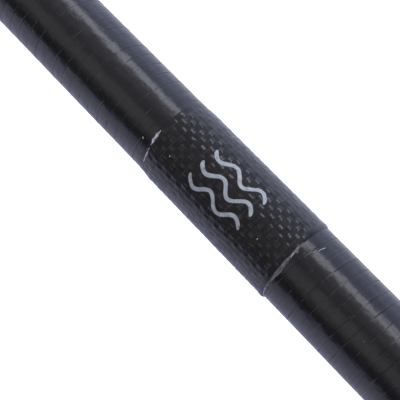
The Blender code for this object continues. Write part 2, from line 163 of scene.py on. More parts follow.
def noise(tree, scale, detail=3.0, roughness=0.6, vector=None):
    """Noise of one scale, or of a scale for each axis."""
    vector = vector or own_point(tree)
    if isinstance(scale, tuple):
        vector = node(tree, "Mapping", {"Vector": vector, "Scale": scale}).outputs[0]
        scale = 1.0
    inputs = {"Vector": vector, "Scale": scale, "Detail": detail, "Roughness": roughness}
    return node(tree, "TexNoise", inputs).outputs[0]


def cells(tree, scale):
    """How far a place is from the middle of its cell."""
    return node(tree, "TexVoronoi", {"Vector": own_point(tree), "Scale": scale}).outputs["Distance"]


def specks(tree, scale, radius, strength):
    """strength in small spots, 0 elsewhere."""
    return ramp(tree, cells(tree, scale), radius, radius * 0.6, 0.0, strength)


def uv_parts(tree, name):
    uv = node(tree, "UVMap", uv_map=name).outputs[0]
    parts = node(tree, "SeparateXYZ", {0: uv})
    return parts.outputs[0], parts.outputs[1]


def joined(tree, x, y):
    return node(tree, "CombineXYZ", {0: x, 1: y}).outputs[0]


def weave_cells(tree, u, v):
    """1 where a plain weave's crosswise tow is on top, and a random share of each cell's own."""
    cell_u = maths(tree, "FLOOR", u)
    cell_v = maths(tree, "FLOOR", v)
    crosswise = maths(tree, "FLOORED_MODULO", maths(tree, "ADD", cell_u, cell_v), 2.0)
    own = node(tree, "TexWhiteNoise", {"Vector": joined(tree, cell_u, cell_v)})
    return crosswise, own.outputs["Value"]


def bump(tree, height, distance, strength=1.0, normal=None):
    inputs = {"Height": height, "Distance": distance, "Strength": strength}
    if normal is not None:
        inputs["Normal"] = normal
    return node(tree, "Bump", inputs).outputs[0]


# ------------------------ meshes


def array_mesh(name, points, quads):
    """A mesh from numpy arrays of points and of quads."""
    mesh = bpy.data.meshes.new(name)
    mesh.vertices.add(len(points))
    mesh.vertices.foreach_set("co", np.ascontiguousarray(points, np.float32).ravel())
    mesh.loops.add(quads.size)
    mesh.loops.foreach_set("vertex_index", np.ascontiguousarray(quads, np.int32).ravel())
    mesh.polygons.add(len(quads))
    mesh.polygons.foreach_set("loop_start", np.arange(0, quads.size, 4, dtype=np.int32))
    mesh.update(calc_edges=True)
    return mesh


def patterned_mesh(name, points, quads, extra, layers):
    """A mesh whose quads carry uv layers. Its extra faces, at the ends and inside, have none of their own."""
    mesh = array_mesh(name, np.concatenate(points), np.concatenate([quads, extra]))
    plain = np.full((len(extra), 4, 2), 0.5)
    for layer, (u, v) in layers.items():
        uv = np.concatenate([np.stack([u.ravel()[quads], v.ravel()[quads]], -1), plain])
        data = mesh.uv_layers.new(name=layer).data
        data.foreach_set("uv", np.ascontiguousarray(uv, np.float32).ravel())
    return mesh


def shade(mesh, degrees):
    """Shades smooth, but for edges sharper than an angle."""
    mesh.shade_smooth()
    mesh.set_sharp_from_angle(angle=math.radians(degrees))


def finish_mesh(mesh, merge=1e-6, sharp=40.0):
    """Welds doubles, turns every face outward, and shades the mesh."""
    work = bmesh.new()
    work.from_mesh(mesh)
    bmesh.ops.remove_doubles(work, verts=work.verts, dist=merge)
    bmesh.ops.dissolve_degenerate(work, edges=work.edges, dist=merge)
    bmesh.ops.recalc_face_normals(work, faces=work.faces)
    work.to_mesh(mesh)
    work.free()
    shade(mesh, sharp)
    mesh.update()
    return mesh


def add_object(name, data):
    made = bpy.data.objects.new(name, data)
    bpy.context.scene.collection.objects.link(made)
    return made


def place(name, mesh, material, body, slot, *nodes):
    """Makes a mesh a piece that rides on a body and stands for CAD nodes."""
    piece = add_object(name, mesh)
    mesh.materials.clear()
    mesh.materials.append(material)
    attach(piece, body)
    if nodes:
        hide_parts(*nodes)
    return piece


def stacked(x, y, z):
    return np.stack(np.broadcast_arrays(x, y, z), -1)


def on_tube(x, angle, radius):
    """Points at an angle from straight up, counted towards -Y, round the tube's axis."""
    return stacked(x, AXIS_Y - radius * np.sin(angle), AXIS_Z + radius * np.cos(angle))


def ease(value):
    value = np.clip(value, 0.0, 1.0)
    return value * value * (3 - 2 * value)


def wobble(x, angle):
    """The hand-laid unevenness of the tube's surface, in metres."""
    slow = np.sin(x * 61.0 + 1.3) * np.sin(angle * 2 + x * 23.0)
    quick = np.sin(x * 173.0 + 2.0 * np.sin(angle + 0.7)) * np.sin(angle * 3 - x * 57.0)
    fine = np.sin(x * 411.0 + 3.0 * np.sin(angle * 2)) * np.cos(angle * 5 + x * 133.0)
    return (0.030 * slow + 0.016 * quick + 0.008 * fine) * MM


# ------------------------ ridged tubes


def span(cad_node):
    """Where a CAD node starts and ends along the shaft."""
    low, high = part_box(cad_node)
    return low.x, high.x


SHAFT_END = span("outboard_tube")[1]


def shaft_radius(x):
    share = np.clip((x - TAPER_START) / (SHAFT_END - TAPER_START), 0, 1)
    return TUBE_RADIUS + (NECK_RADIUS - TUBE_RADIUS) * share


def column_angles():
    """Angles of a tube's columns, its last the same line as its first.

    The first column of each quarter is as wide as a slot.
    """
    slot = SLOT_WIDTH / TUBE_RADIUS
    per_slot = TUBE_COLUMNS // SLOT_COUNT
    quarter = FULL_TURN / SLOT_COUNT
    step = (quarter - slot) / (per_slot - 1)
    angles = []
    for index in range(SLOT_COUNT):
        start = index * quarter - slot / 2
        angles.append(start)
        angles.extend(start + slot + step * k for k in range(per_slot - 1))
    angles.append(angles[0] + FULL_TURN)
    return np.array(angles)


def grid_quads(rows, columns):
    i, j = np.meshgrid(np.arange(rows - 1), np.arange(columns - 1), indexing="ij")
    a = (i * columns + j).ravel()
    return np.stack([a, a + 1, a + columns + 1, a + columns], -1)


def drifting(random, rows, along):
    """Smooth random curves, one for each of a number of rows, read at positions along them."""
    control = random.uniform(-1, 1, (rows, int(along.max()) + 3))
    index = along.astype(int)
    part = ease(along - index)
    return control[:, index] * (1 - part) + control[:, index + 1] * part


def ridged_surface(low, high, seed):
    """The outside of a tube between two stations, with the spiral ridge that shrink tape leaves."""
    random = np.random.default_rng(seed)
    angles = column_angles()
    share = (angles - angles[0]) / FULL_TURN
    per_turn = len(RIDGE_OFFSETS)
    rows = (int(math.ceil((high - low) / TAPE_PITCH)) + 2) * per_turn
    row = np.arange(rows)
    kind = (row % per_turn)[:, None]
    start = low + (row // per_turn) * TAPE_PITCH + np.array(RIDGE_OFFSETS)[row % per_turn]
    x = start[:, None] - share * TAPE_PITCH
    turn = (row // per_turn)[:, None] + 1 - share
    drift = drifting(random, 3, turn * DRIFTS_PER_TURN)
    fade = ease((x - low) / RIDGE_FADE) * ease((high - x) / RIDGE_FADE)
    crown = {2: 1 + 2 * drift[2], 3: 2 + 2 * drift[1], 4: 1 - 2 * drift[2]}
    height = np.where(kind == 0, RIDGE_HEIGHT * (1 + 0.5 * drift[0]), 0.0)
    for number, share_of_crown in crown.items():
        height += np.where(kind == number, TAPE_CROWN * share_of_crown, 0.0)
    shift = np.where(kind == 3, 0.5 * MM * drift[2], 0.10 * MM * drift[1])
    x = np.clip(x + shift * fade, low, high)
    angle = np.broadcast_to(angles, x.shape)
    points = on_tube(x, angle, shaft_radius(x) + height * fade + wobble(x, angle)).reshape(-1, 3)
    quads = grid_quads(rows, len(angles))
    along = x.ravel()[quads]
    quads = quads[(along.max(1) > low + TINY) & (along.min(1) < high - TINY)]
    turns = np.broadcast_to(start[:, None] / TAPE_PITCH, x.shape)
    return points, quads, (turns, angle / FULL_TURN)


def shaft_tube(name, low, high, bore_stations, seed, slotted=False):
    """A shaft tube: ridged outside, plain bore, flat ends, and at a slotted end a short smooth length."""
    plain = low + PLAIN_END if slotted else low
    points, quads, tape = ridged_surface(plain, high, seed)
    angles = column_angles()
    count = len(angles)
    stations = np.array([low, *bore_stations, high])
    there = np.ones((len(stations) - 1, count - 1), bool)
    if slotted:
        there[0, :: TUBE_COLUMNS // SLOT_COUNT] = False
    x, angle = np.meshgrid(stations, angles, indexing="ij")
    outside = on_tube(x, angle, shaft_radius(x) + wobble(x, angle)).reshape(-1, 3)
    inside = on_tube(x, angle, shaft_radius(x) - TUBE_WALL).reshape(-1, 3)
    first, second = len(points), len(points) + len(outside)
    cells = grid_quads(len(stations), count).reshape(len(stations) - 1, count - 1, 4)
    extra = [second + cells[there]]
    if slotted:
        smooth = there & (stations[:-1, None] < plain - TINY)
        extra.append(first + cells[smooth])
    padded = np.pad(there, ((1, 1), (0, 0)))
    for s, j in np.argwhere(there):
        a, b, c, d = cells[s, j]
        sides = (
            (padded[s, j], a, b),
            (padded[s + 2, j], c, d),
            (there[s, j - 1], d, a),
            (there[s, (j + 1) % (count - 1)], b, c),
        )
        extra.extend(
            np.array([[first + p, first + q, second + q, second + p]])
            for same, p, q in sides
            if not same
        )
    points = [points, outside, inside]
    return finish_mesh(patterned_mesh(name, points, quads, np.concatenate(extra), {"tape": tape}))


# ------------------------ woven bands

TOWS_ALONG = 27
TOWS_ROUND = 44
NECK_TOWS_ALONG = 13
NECK_TOWS_ROUND = 40
STEPS_ALONG = 6
STEPS_ROUND = 8
WEAVE_SEED = 11
CLOTH_TURN = math.radians(3.0)
ARCH_HEIGHT = 0.25 * MM
FLAT_TOW_HEIGHT = 0.07 * MM
SOFT_EDGE = 6.5 * MM
HARD_EDGE = 0.9 * MM
RAGGED_EDGE = 0.15 * MM
BEAD_HEIGHT = 0.16 * MM
BEAD_FROM_END = 1.6 * MM
BEAD_WIDTH = 1.1 * MM
BAND_RIDGE_HEIGHT = 0.06 * MM
BAND_RIDGE_WIDTH = 0.30 * MM
BAND_PROUD = 0.58 * MM
BAND_CLEARANCE = 0.05 * MM
NECK_BAND_PROUD = 1.0 * MM
NECK_BAND_CLEARANCE = 0.2 * MM
BULGE = 0.11 * MM
BULGE_ANGLE = math.radians(-104)
MARK_ANGLE = math.radians(-14)
ASKEW_ANGLE = math.radians(75)
ASKEW_REACH = 12 * MM


def woven_band(name, ends, tube_radius, proud, clearance, tows, bulge):
    """A plain weave: lengthwise tows on top in every other cell, crosswise tows in the rest."""
    low, high = ends
    tows_along, tows_round = tows
    columns = tows_round * STEPS_ROUND + 1
    rows = tows_along * STEPS_ALONG + 1
    u = np.linspace(0, tows_along, rows)
    v = np.linspace(0, tows_round, columns)
    grid_u, grid_v = np.meshgrid(u, v, indexing="ij")
    # the cloth was laid by hand, so its tows wander
    angle = grid_v / tows_round * FULL_TURN + CLOTH_TURN
    drift_u = 0.10 * np.sin(angle * 2 + grid_u * 0.3) + 0.07 * np.sin(angle * 5 + 1.0)
    drift_v = 0.12 * np.sin(grid_u * 0.55 + 0.8) + 0.07 * np.sin(grid_u * 1.7 + angle * 3)
    cloth_u = grid_u + drift_u
    cloth_v = grid_v + drift_v
    cell_u = np.floor(cloth_u).astype(int)
    cell_v = np.floor(cloth_v).astype(int) % tows_round
    a = 2 * (cloth_u % 1) - 1
    b = 2 * (cloth_v % 1) - 1
    lengthwise = (cell_u + cell_v) % 2 == 0
    random = np.random.default_rng(WEAVE_SEED)
    uneven = random.uniform(0.65, 1.25, (tows_along + 4, tows_round))
    tilt = random.uniform(-0.35, 0.35, (tows_along + 4, tows_round))
    size = uneven[cell_u + 1, cell_v]
    lean = tilt[cell_u + 1, cell_v]
    # a crosswise tow arches along itself, a lengthwise one is flatter and lies lower, and away
    # from the side with the mark the resin fills more of the weave
    bare = 0.45 + 0.55 * ease((np.cos(angle - MARK_ANGLE) - 0.55) / 0.3)
    arch = (1 - np.abs(b) ** 1.6) * (1 + lean * b) * (1 - np.abs(a) ** 4) * ARCH_HEIGHT * size * bare
    flat = (1 - a**2) * (1 - b**2) * (1 + 2 * lean * b) * FLAT_TOW_HEIGHT * size
    height = np.where(lengthwise, flat, arch)
    x = low + (high - low) * grid_u / tows_along
    from_low = x - low
    from_high = high - x
    # the tape's ridge crosses the band too, but resin fills most of it
    turn = x / TAPE_PITCH + angle / FULL_TURN
    ridge = np.exp(-((((turn + 0.5) % 1) - 0.5) * TAPE_PITCH / BAND_RIDGE_WIDTH) ** 2)
    ragged = 0.8 * np.sin(angle * 3 + 0.4) + 0.5 * np.sin(angle * 7 + 2.0) + 0.3 * np.sin(angle * 17)
    soft_edge = ease(from_high / SOFT_EDGE)
    hard_edge = ease((from_low + RAGGED_EDGE * ragged) / HARD_EDGE)
    rise = np.minimum(0.22 + 0.78 * soft_edge, 0.35 + 0.65 * hard_edge)
    rise *= proud + bulge * np.cos(angle - BULGE_ANGLE)
    bead = BEAD_HEIGHT * np.exp(-(((from_low - BEAD_FROM_END) / BEAD_WIDTH) ** 2))
    shown = ease(from_high / (3.5 * MM)) * ease((from_low - 1.2 * MM) / (2.2 * MM))
    relief = (height - 0.55 * ARCH_HEIGHT + BAND_RIDGE_HEIGHT * ridge) * shown
    # the cut end runs a little askew
    askew = (1.25 + 0.75 * np.cos(angle - ASKEW_ANGLE)) * MM
    moved = x + askew * ease(1 - from_low / ASKEW_REACH)
    radius = tube_radius + rise + bead + relief + wobble(x, angle)
    outside = on_tube(moved, angle, radius).reshape(-1, 3)
    end_x = np.stack([low + askew[0], np.full(columns, high)])
    inside = on_tube(end_x, angle[:2], tube_radius + clearance).reshape(-1, 3)
    quads = grid_quads(rows, columns)
    base = len(outside)
    k = np.arange(columns - 1)
    last = (rows - 1) * columns
    extra = np.concatenate([
        base + grid_quads(2, columns),
        np.stack([k, k + 1, base + k + 1, base + k], -1),
        np.stack([last + k, last + k + 1, base + columns + k + 1, base + columns + k], -1),
    ])
    layers = {"tows": (cloth_u, cloth_v), "tape": (turn, grid_v / tows_round)}
    return finish_mesh(patterned_mesh(name, [outside, inside], quads, extra, layers), sharp=60.0)


CHIP_STEPS = 18
# A flake's four corners: place across it, lift as a share of its thickness, and lift of its own
CHIP_CORNERS = ((-1, 0, -0.03 * MM), (-0.55, 1, 0), (0.4, 0.8, 0), (1, 0, -0.03 * MM))


def chips(name, outlines, radius):
    """Thin flakes of resin, lying on a radius of the tube.

    Each is the station it is measured from, its start and its end as (millimetres, degrees), then its
    half width, its sideways bend and its thickness in millimetres. Angles are from straight up,
    towards -Y.
    """
    points, quads = [], []
    for station, start, end, half_width, bend, thick in outlines:
        base = len(points)
        x0, x1 = (station + along * MM for along, _ in (start, end))
        angle0, angle1 = (math.radians(degrees) for _, degrees in (start, end))
        half_width, bend, thick = half_width * MM, bend * MM, thick * MM
        for index in range(CHIP_STEPS + 1):
            t = index / CHIP_STEPS
            wide = half_width * math.sin(math.pi * min(max(t, 0.04), 0.96)) ** 0.7
            wide *= 1 + 0.24 * math.sin(t * 17 + x0 * 999) + 0.12 * math.sin(t * 41)
            middle = x0 + (x1 - x0) * t + bend * math.sin(math.pi * t)
            middle += 0.12 * half_width * math.sin(t * 17 + angle0 * 9)
            angle = angle0 + (angle1 - angle0) * t
            for across, share, own_lift in CHIP_CORNERS:
                lift = thick * share + own_lift
                points.append(on_tube(middle + across * wide, angle, radius + lift))
        for index in range(CHIP_STEPS):
            row = base + index * 4
            quads.extend((row + k, row + k + 1, row + k + 5, row + k + 4) for k in range(3))
            quads.append((row + 3, row, row + 4, row + 7))
        quads.append((base + 3, base + 2, base + 1, base))
        last = base + CHIP_STEPS * 4
        quads.append((last, last + 1, last + 2, last + 3))
    mesh = array_mesh(name, np.array(points), np.array(quads))
    return finish_mesh(mesh, sharp=35.0)


# ------------------------ materials of the shaft

COAT_IOR = 1.5
DENT_DEPTH = 0.12 * MM
# how far apart two turns of the tape read their noise, so that their dents differ
WRAP_STEP = 3.7
WAVE_CENTRE_U = 13.7
WAVE_CENTRE_V = -2.07
WAVE_HALF_LENGTH = 5.0
WAVE_NUMBER = FULL_TURN / 5.0
WAVE_SWING = 0.75
WAVE_SPACING = 2.7
WAVE_HALF_WIDTH = 0.30
INK_EDGE = 0.03


def tape_thread(tree):
    """The broken matt line that each edge of the tape leaves, up to 1 on the line."""
    turn, _ = uv_parts(tree, "tape")
    near = maths(tree, "PINGPONG", maths(tree, "FRACT", turn), 0.5)
    broken = noise(tree, (140, 260, 260))
    weak = ramp(tree, broken, 0.42, 0.62, 0.10, 1.0)
    width = ramp(tree, broken, 0.3, 0.7, 0.014, 0.036)
    return times(tree, maths(tree, "LESS_THAN", near, width), weak)


def tape_dents(tree):
    """Each turn of the tape presses its own dents, that end at its two ridges."""
    turn, round_share = uv_parts(tree, "tape")
    wrap = times(tree, maths(tree, "FLOOR", turn), WRAP_STEP)
    dents = noise(tree, (1, 26, 1), 1.0, 0.5, joined(tree, wrap, round_share))
    from_ridge = maths(tree, "PINGPONG", maths(tree, "FRACT", turn), 0.5)
    return times(tree, dents, ramp(tree, from_ridge, 0.0, 0.22))


def lacquer(tree, depth, shine, coat_roughness, dents=None):
    """The uneven clear resin over carbon. shine is 1 where the resin is whole."""
    waves = noise(tree, (190, 210, 210), 2.0, 0.5)
    rings = noise(tree, (1100, 60, 60), 3.0, 0.7)
    shine = times(tree, shine, ramp(tree, rings, 0.35, 0.68, 1.0, 0.86))
    grain = noise(tree, (700, 900, 900), 4.0, 0.65)
    normal = bump(tree, waves, depth, 0.8)
    normal = bump(tree, grain, 0.022 * MM, 0.8, normal)
    if dents is not None:
        normal = bump(tree, dents, DENT_DEPTH, 1.0, normal)
    shading(tree, {"Normal": normal, "Coat Normal": normal, "Coat Weight": shine})
    shading(tree, {"Coat Roughness": coat_roughness, "Coat IOR": COAT_IOR})


def carbon_tube_material():
    material, tree = new_material("wound_carbon")
    fibres = noise(tree, (40, 900, 900), 4.0)
    patches = noise(tree, (30, 60, 60), 3.0, 0.5)
    blotches = noise(tree, 420.0)
    dark = blend(tree, fibres, 0.35, 0.65, (0.0030, 0.0030, 0.0030), (0.0062, 0.006, 0.0064))
    colour = blend(tree, patches, 0.4, 0.7, dark, (0.0085, 0.0076, 0.0074))
    thread = tape_thread(tree)
    colour = mix(tree, thread, colour, (0.050, 0.050, 0.054))
    colour = mix(tree, specks(tree, 170.0, 0.085, 0.35), colour, (0.10, 0.10, 0.105))
    rough = ramp(tree, blotches, 0.3, 0.7, 0.38, 0.55)
    surface(tree, colour, rough, specular=0.05)
    lacquer(tree, 0.25 * MM, between(tree, thread, 1.0, 0.12), 0.215, tape_dents(tree))
    return material


def woven_material(name, marked):
    material, tree = new_material(name)
    u, v = uv_parts(tree, "tows")
    crosswise, own = weave_cells(tree, u, v)
    flat = joined(tree, u, v)
    across, along = (noise(tree, scale, vector=flat) for scale in ((1.2, 14, 1), (14, 1.2, 1)))
    fibre = mix(tree, crosswise, across, along, "FLOAT")
    smear = noise(tree, (260, 420, 420), 4.0, 0.65)
    light = blend(tree, fibre, 0.3, 0.7, (0.0120, 0.0111, 0.0112), (0.0290, 0.0264, 0.0258))
    dark = blend(tree, fibre, 0.3, 0.7, (0.0060, 0.0059, 0.0066), (0.0120, 0.0114, 0.0120))
    tone = maths(tree, "MULTIPLY_ADD", own, 0.75, times(tree, crosswise, 0.25))
    colour = mix(tree, tone, light, dark)
    colour = blend(tree, smear, 0.48, 0.72, colour, (0.020, 0.0185, 0.018), 0.8)
    colour = mix(tree, specks(tree, 300.0, 0.11, 0.4), colour, (0.12, 0.12, 0.125))
    thread = tape_thread(tree)
    colour = mix(tree, times(tree, thread, 0.8), colour, (0.052, 0.050, 0.052))
    if marked:
        worn = ramp(tree, noise(tree, 900.0, 4.0, 0.65), 0.33, 0.40, 0.45, 1.0)
        ink = times(tree, printed_waves(tree, u, v), worn)
        colour = mix(tree, ink, colour, (0.40, 0.43, 0.445))
    # the borders between tows are filled with dull resin
    bright = crosswise
    for part in (u, v):
        off_middle = maths(tree, "ABSOLUTE", maths(tree, "SUBTRACT", maths(tree, "FRACT", part), 0.5))
        bright = times(tree, bright, ramp(tree, off_middle, 0.34, 0.46, 1.0, 0.0))
    matt = ramp(tree, fibre, 0.3, 0.7, 0.58, 0.72)
    rough = mix(tree, bright, matt, between(tree, own, 0.15, 0.32), "FLOAT")
    surface(tree, colour, rough, specular=0.20)
    # lengthwise fibres spread the light round the tube, so they only shine where they are seen edge-on
    facing = node(tree, "LayerWeight", {"Blend": 0.5}).outputs["Facing"]
    edge_on = ramp(tree, facing, 0.15, 0.42, 0.04, 1.62)
    shine = between(tree, own, 0.34, 0.58)
    shine = times(tree, shine, between(tree, bright, edge_on, 1.0))
    shine = times(tree, shine, between(tree, thread, 1.0, 0.3))
    lacquer(tree, 0.15 * MM, shine, 0.15)
    return material


def resin_material(name, colour, thin):
    """Cured resin: whitish where it has lifted, greyer where it is thin. The near-white resin is partly a
    painted glint, the light that the resin catches at the band's step.
    """
    material, tree = new_material(name)
    cloud = noise(tree, 900.0, 4.0)
    streaks = noise(tree, (1500, 400, 400))
    body = blend(tree, cloud, 0.35, 0.62, thin, colour)
    body = blend(tree, streaks, 0.5, 0.7, body, thin, 0.5)
    rough = ramp(tree, cloud, 0.3, 0.7, 0.3, 0.6)
    surface(tree, body, rough, bump(tree, cloud, 0.08 * MM, 0.8))
    return material


def printed_waves(tree, u, v):
    """Three wave lines, in units of a tow: the mark printed on the band."""

    def of(operation, *values):
        return maths(tree, operation, *values)

    along = of("SUBTRACT", u, WAVE_CENTRE_U)
    phase = of("MULTIPLY", along, WAVE_NUMBER)
    turned_v = of("SUBTRACT", v, WAVE_CENTRE_V + TOWS_ROUND / 2)
    wrapped = of("SUBTRACT", of("FLOORED_MODULO", turned_v, TOWS_ROUND), TOWS_ROUND / 2)
    off = of("SUBTRACT", wrapped, of("MULTIPLY", of("SINE", phase), WAVE_SWING))
    line = of("MULTIPLY", of("ROUND", of("DIVIDE", off, WAVE_SPACING)), WAVE_SPACING)
    line = of("MINIMUM", of("MAXIMUM", line, -WAVE_SPACING), WAVE_SPACING)
    # a line that runs at a slant is nearer than it is along v
    slope = of("MULTIPLY", of("COSINE", phase), WAVE_SWING * WAVE_NUMBER)
    steep = of("SQRT", of("ADD", of("MULTIPLY", slope, slope), 1.0))
    across = of("DIVIDE", of("SUBTRACT", off, line), steep)
    past = of("MAXIMUM", of("SUBTRACT", of("ABSOLUTE", along), WAVE_HALF_LENGTH), 0.0)
    far = of("SQRT", of("ADD", of("MULTIPLY", across, across), of("MULTIPLY", past, past)))
    return ramp(tree, far, WAVE_HALF_WIDTH + INK_EDGE, WAVE_HALF_WIDTH - INK_EDGE)


# ------------------------ the shaft

wound = carbon_tube_material()
low, high = span("inboard_tube")
bore_stations = (low + SLOT_LENGTH, low + PLAIN_END)
inboard = shaft_tube("inboard_shaft", low, high, bore_stations, seed=3, slotted=True)
place("inboard_shaft", inboard, wound, "oar", "shaft_carbon", "inboard_tube")
outboard = shaft_tube("outboard_shaft", *span("outboard_tube"), (TAPER_START,), seed=4)
place("outboard_shaft", outboard, wound, "oar", "shaft_carbon", "outboard_tube")

ends = span("woven_joint_band")
tows = (TOWS_ALONG, TOWS_ROUND)
band = woven_band("woven_band", ends, TUBE_RADIUS, BAND_PROUD, BAND_CLEARANCE, tows, BULGE)
woven = woven_material("woven_carbon", marked=True)
place("woven_band", band, woven, "oar", "woven_carbon", "woven_joint_band")
ends = span("neck_band")
tows = (NECK_TOWS_ALONG, NECK_TOWS_ROUND)
wrap = woven_band("neck_wrap", ends, NECK_RADIUS, NECK_BAND_PROUD, NECK_BAND_CLEARANCE, tows, 0.0)
plain_weave = woven_material("woven_carbon_plain", marked=False)
place("neck_wrap", wrap, plain_weave, "oar", "woven_carbon", "neck_band")

# Resin left at the band's edges, where the tape squeezed it out
INNER_EDGE, OUTER_EDGE = span("woven_joint_band")
BESIDE_BAND = TUBE_RADIUS + 0.20 * MM
ON_BAND = TUBE_RADIUS + 0.64 * MM
SLIVERS = (
    (OUTER_EDGE, (-0.7, -21), (-1.4, -43.5), 0.62, 0.1, 0.30),
    (OUTER_EDGE, (-1.5, -47.5), (-2.0, -74), 0.32, -0.2, 0.28),
    (OUTER_EDGE, (3.1, -43), (2.6, -45.4), 0.26, 0.0, -0.02),
    (INNER_EDGE, (-4.7, 24.0), (-4.1, 13.0), 0.11, 0.1, -0.08),
    (INNER_EDGE, (1.2, -9), (0.7, -17), 0.22, 0.1, 0.32),
    (INNER_EDGE, (0.9, -66), (0.1, -92), 0.27, 0.1, 0.3),
)
BAND_SPECKS = (
    (0.0, (24.6, -34.2), (24.3, -36.0), 0.20, 0.0, 0.05),
    (0.0, (-20.6, -28.0), (-20.5, -30.5), 0.14, 0.0, 0.05),
)
FILLET = (
    (INNER_EDGE, (1.7, 7), (1.3, -18), 0.95, 0.1, 0.28),
    (INNER_EDGE, (1.35, -13), (0.8, -60), 1.15, -0.1, 0.25),
    (INNER_EDGE, (0.9, -54), (0.2, -88), 0.6, 0.1, 0.28),
)
# the near-white resin is real resin flakes, and its whiteness is partly a painted glint at the band's step;
# the grey resin is its own colour
white_resin_and_glint = resin_material("lifted_resin_and_glint", (0.80, 0.82, 0.86), (0.30, 0.31, 0.34))
pale_resin = resin_material("pale_resin", (0.18, 0.18, 0.185), (0.070, 0.069, 0.070))
RESIN = (
    ("resin_slivers", SLIVERS, BESIDE_BAND, white_resin_and_glint),
    ("resin_specks", BAND_SPECKS, ON_BAND, white_resin_and_glint),
    ("resin_fillet", FILLET, BESIDE_BAND, pale_resin),
)
for name, outlines, radius, resin in RESIN:
    place(name, chips(name, outlines, radius), resin, "oar", "woven_carbon")


# ------------------------ materials of the other pieces

BLADE_TOW = 2.5 * MM
NECK_STATION, TIP_STATION = span("blade_back_skin")
RING_PITCH = 10.0 * MM
LAST_RING = 60.0 * MM


def tinted(tree, scale, first, second):
    """Two colours mixed by a noise of a given scale."""
    return blend(tree, noise(tree, scale, 4.0), 0.35, 0.65, first, second)


def moulded_material(name, dark, light, rough_low, rough_high, grain_size, grain_depth):
    """Moulded plastic: a fine spark-eroded grain, cloudy tint, and scuffs."""
    material, tree = new_material(name)
    scuffs = noise(tree, (160, 900, 900), 5.0, 0.7)
    scuffed = tuple(min(1.0, channel * 2.2 + 0.02) for channel in light)
    colour = blend(tree, scuffs, 0.60, 0.75, tinted(tree, 60.0, dark, light), scuffed, 0.45)
    rough = ramp(tree, noise(tree, 90.0), 0.35, 0.65, rough_low, rough_high)
    rubbed = bump(tree, scuffs, 0.03 * MM, 0.6)
    normal = bump(tree, noise(tree, grain_size), grain_depth, 0.9, rubbed)
    surface(tree, colour, rough, normal, 0.4)
    return material


def metal_material(name, colour, other, rough_low, rough_high, rings, ring_depth):
    """Turned or blasted metal. rings stretches the marks along an axis."""
    material, tree = new_material(name)
    marks = noise(tree, rings, 4.0, 0.65)
    stains = noise(tree, 240.0, 4.0)
    stain = tuple(channel * 0.45 for channel in other)
    body = blend(tree, marks, 0.3, 0.7, colour, other)
    body = blend(tree, stains, 0.55, 0.75, body, stain, 0.5)
    rough = ramp(tree, stains, 0.3, 0.7, rough_low, rough_high)
    surface(tree, body, rough, bump(tree, marks, ring_depth, 0.8))
    shading(tree, {"Metallic": 1.0})
    return material


def rubber_material():
    material, tree = new_material("grip_rubber")
    colour = tinted(tree, 130.0, (0.018, 0.024, 0.040), (0.030, 0.038, 0.060))
    dust = ramp(tree, noise(tree, (400, 400, 400), 5.0, 0.7), 0.50, 0.72)
    palm = noise(tree, 28.0, 2.0, 0.5)
    worn = times(tree, dust, ramp(tree, palm, 0.35, 0.65, 0.25, 0.8))
    colour = mix(tree, worn, colour, (0.085, 0.092, 0.110))
    rough = ramp(tree, palm, 0.35, 0.65, 0.92, 0.68)
    normal = bump(tree, noise(tree, 2600.0), 0.05 * MM, 0.9)
    surface(tree, colour, rough, normal, 0.35)
    return material


def foam_material():
    material, tree = new_material("closed_cell_foam")
    bubbles = cells(tree, 900.0)
    colour = tinted(tree, 70.0, (0.55, 0.46, 0.30), (0.68, 0.60, 0.43))
    # painted shade: the colour darkens towards the middle of each bubble, where the bump sinks a hollow
    colour = blend(tree, bubbles, 0.35, 0.05, colour, (0.36, 0.28, 0.17), 0.5)
    rough = ramp(tree, bubbles, 0.0, 0.6, 1.0, 0.85)
    surface(tree, colour, rough, bump(tree, bubbles, 0.25 * MM, 0.9), 0.2)
    return material


def plain_carbon_material(name, rings_from=None):
    """Smooth tube carbon. rings_from is the station where printed rings start."""
    material, tree = new_material(name)
    fibres = noise(tree, (30, 900, 900), 4.0)
    patches = noise(tree, (40, 90, 90), 3.0, 0.5)
    colour = blend(tree, fibres, 0.35, 0.65, (0.0045, 0.0045, 0.0045), (0.010, 0.0096, 0.010))
    colour = blend(tree, patches, 0.4, 0.7, colour, (0.014, 0.013, 0.013), 0.6)
    rubbed = noise(tree, (90, 1400, 1400), 4.0, 0.65)
    colour = blend(tree, rubbed, 0.60, 0.75, colour, (0.050, 0.050, 0.054), 0.5)
    if rings_from is not None:
        x = node(tree, "SeparateXYZ", {0: own_point(tree)}).outputs[0]
        along = maths(tree, "SUBTRACT", x, rings_from)
        step = maths(tree, "FRACT", maths(tree, "DIVIDE", along, RING_PITCH))
        ink = maths(tree, "LESS_THAN", maths(tree, "PINGPONG", step, 0.5), 0.04)
        ink = times(tree, ink, maths(tree, "GREATER_THAN", along, -0.5 * MM))
        ink = times(tree, ink, maths(tree, "LESS_THAN", along, LAST_RING + 0.5 * MM))
        missing = ramp(tree, noise(tree, 700.0, 4.0), 0.36, 0.44, 0.3, 1.0)
        colour = mix(tree, times(tree, ink, missing), colour, (0.50, 0.52, 0.55))
    rough = ramp(tree, rubbed, 0.3, 0.7, 0.24, 0.42)
    surface(tree, colour, rough, bump(tree, fibres, 0.02 * MM, 0.7), 0.4)
    return material


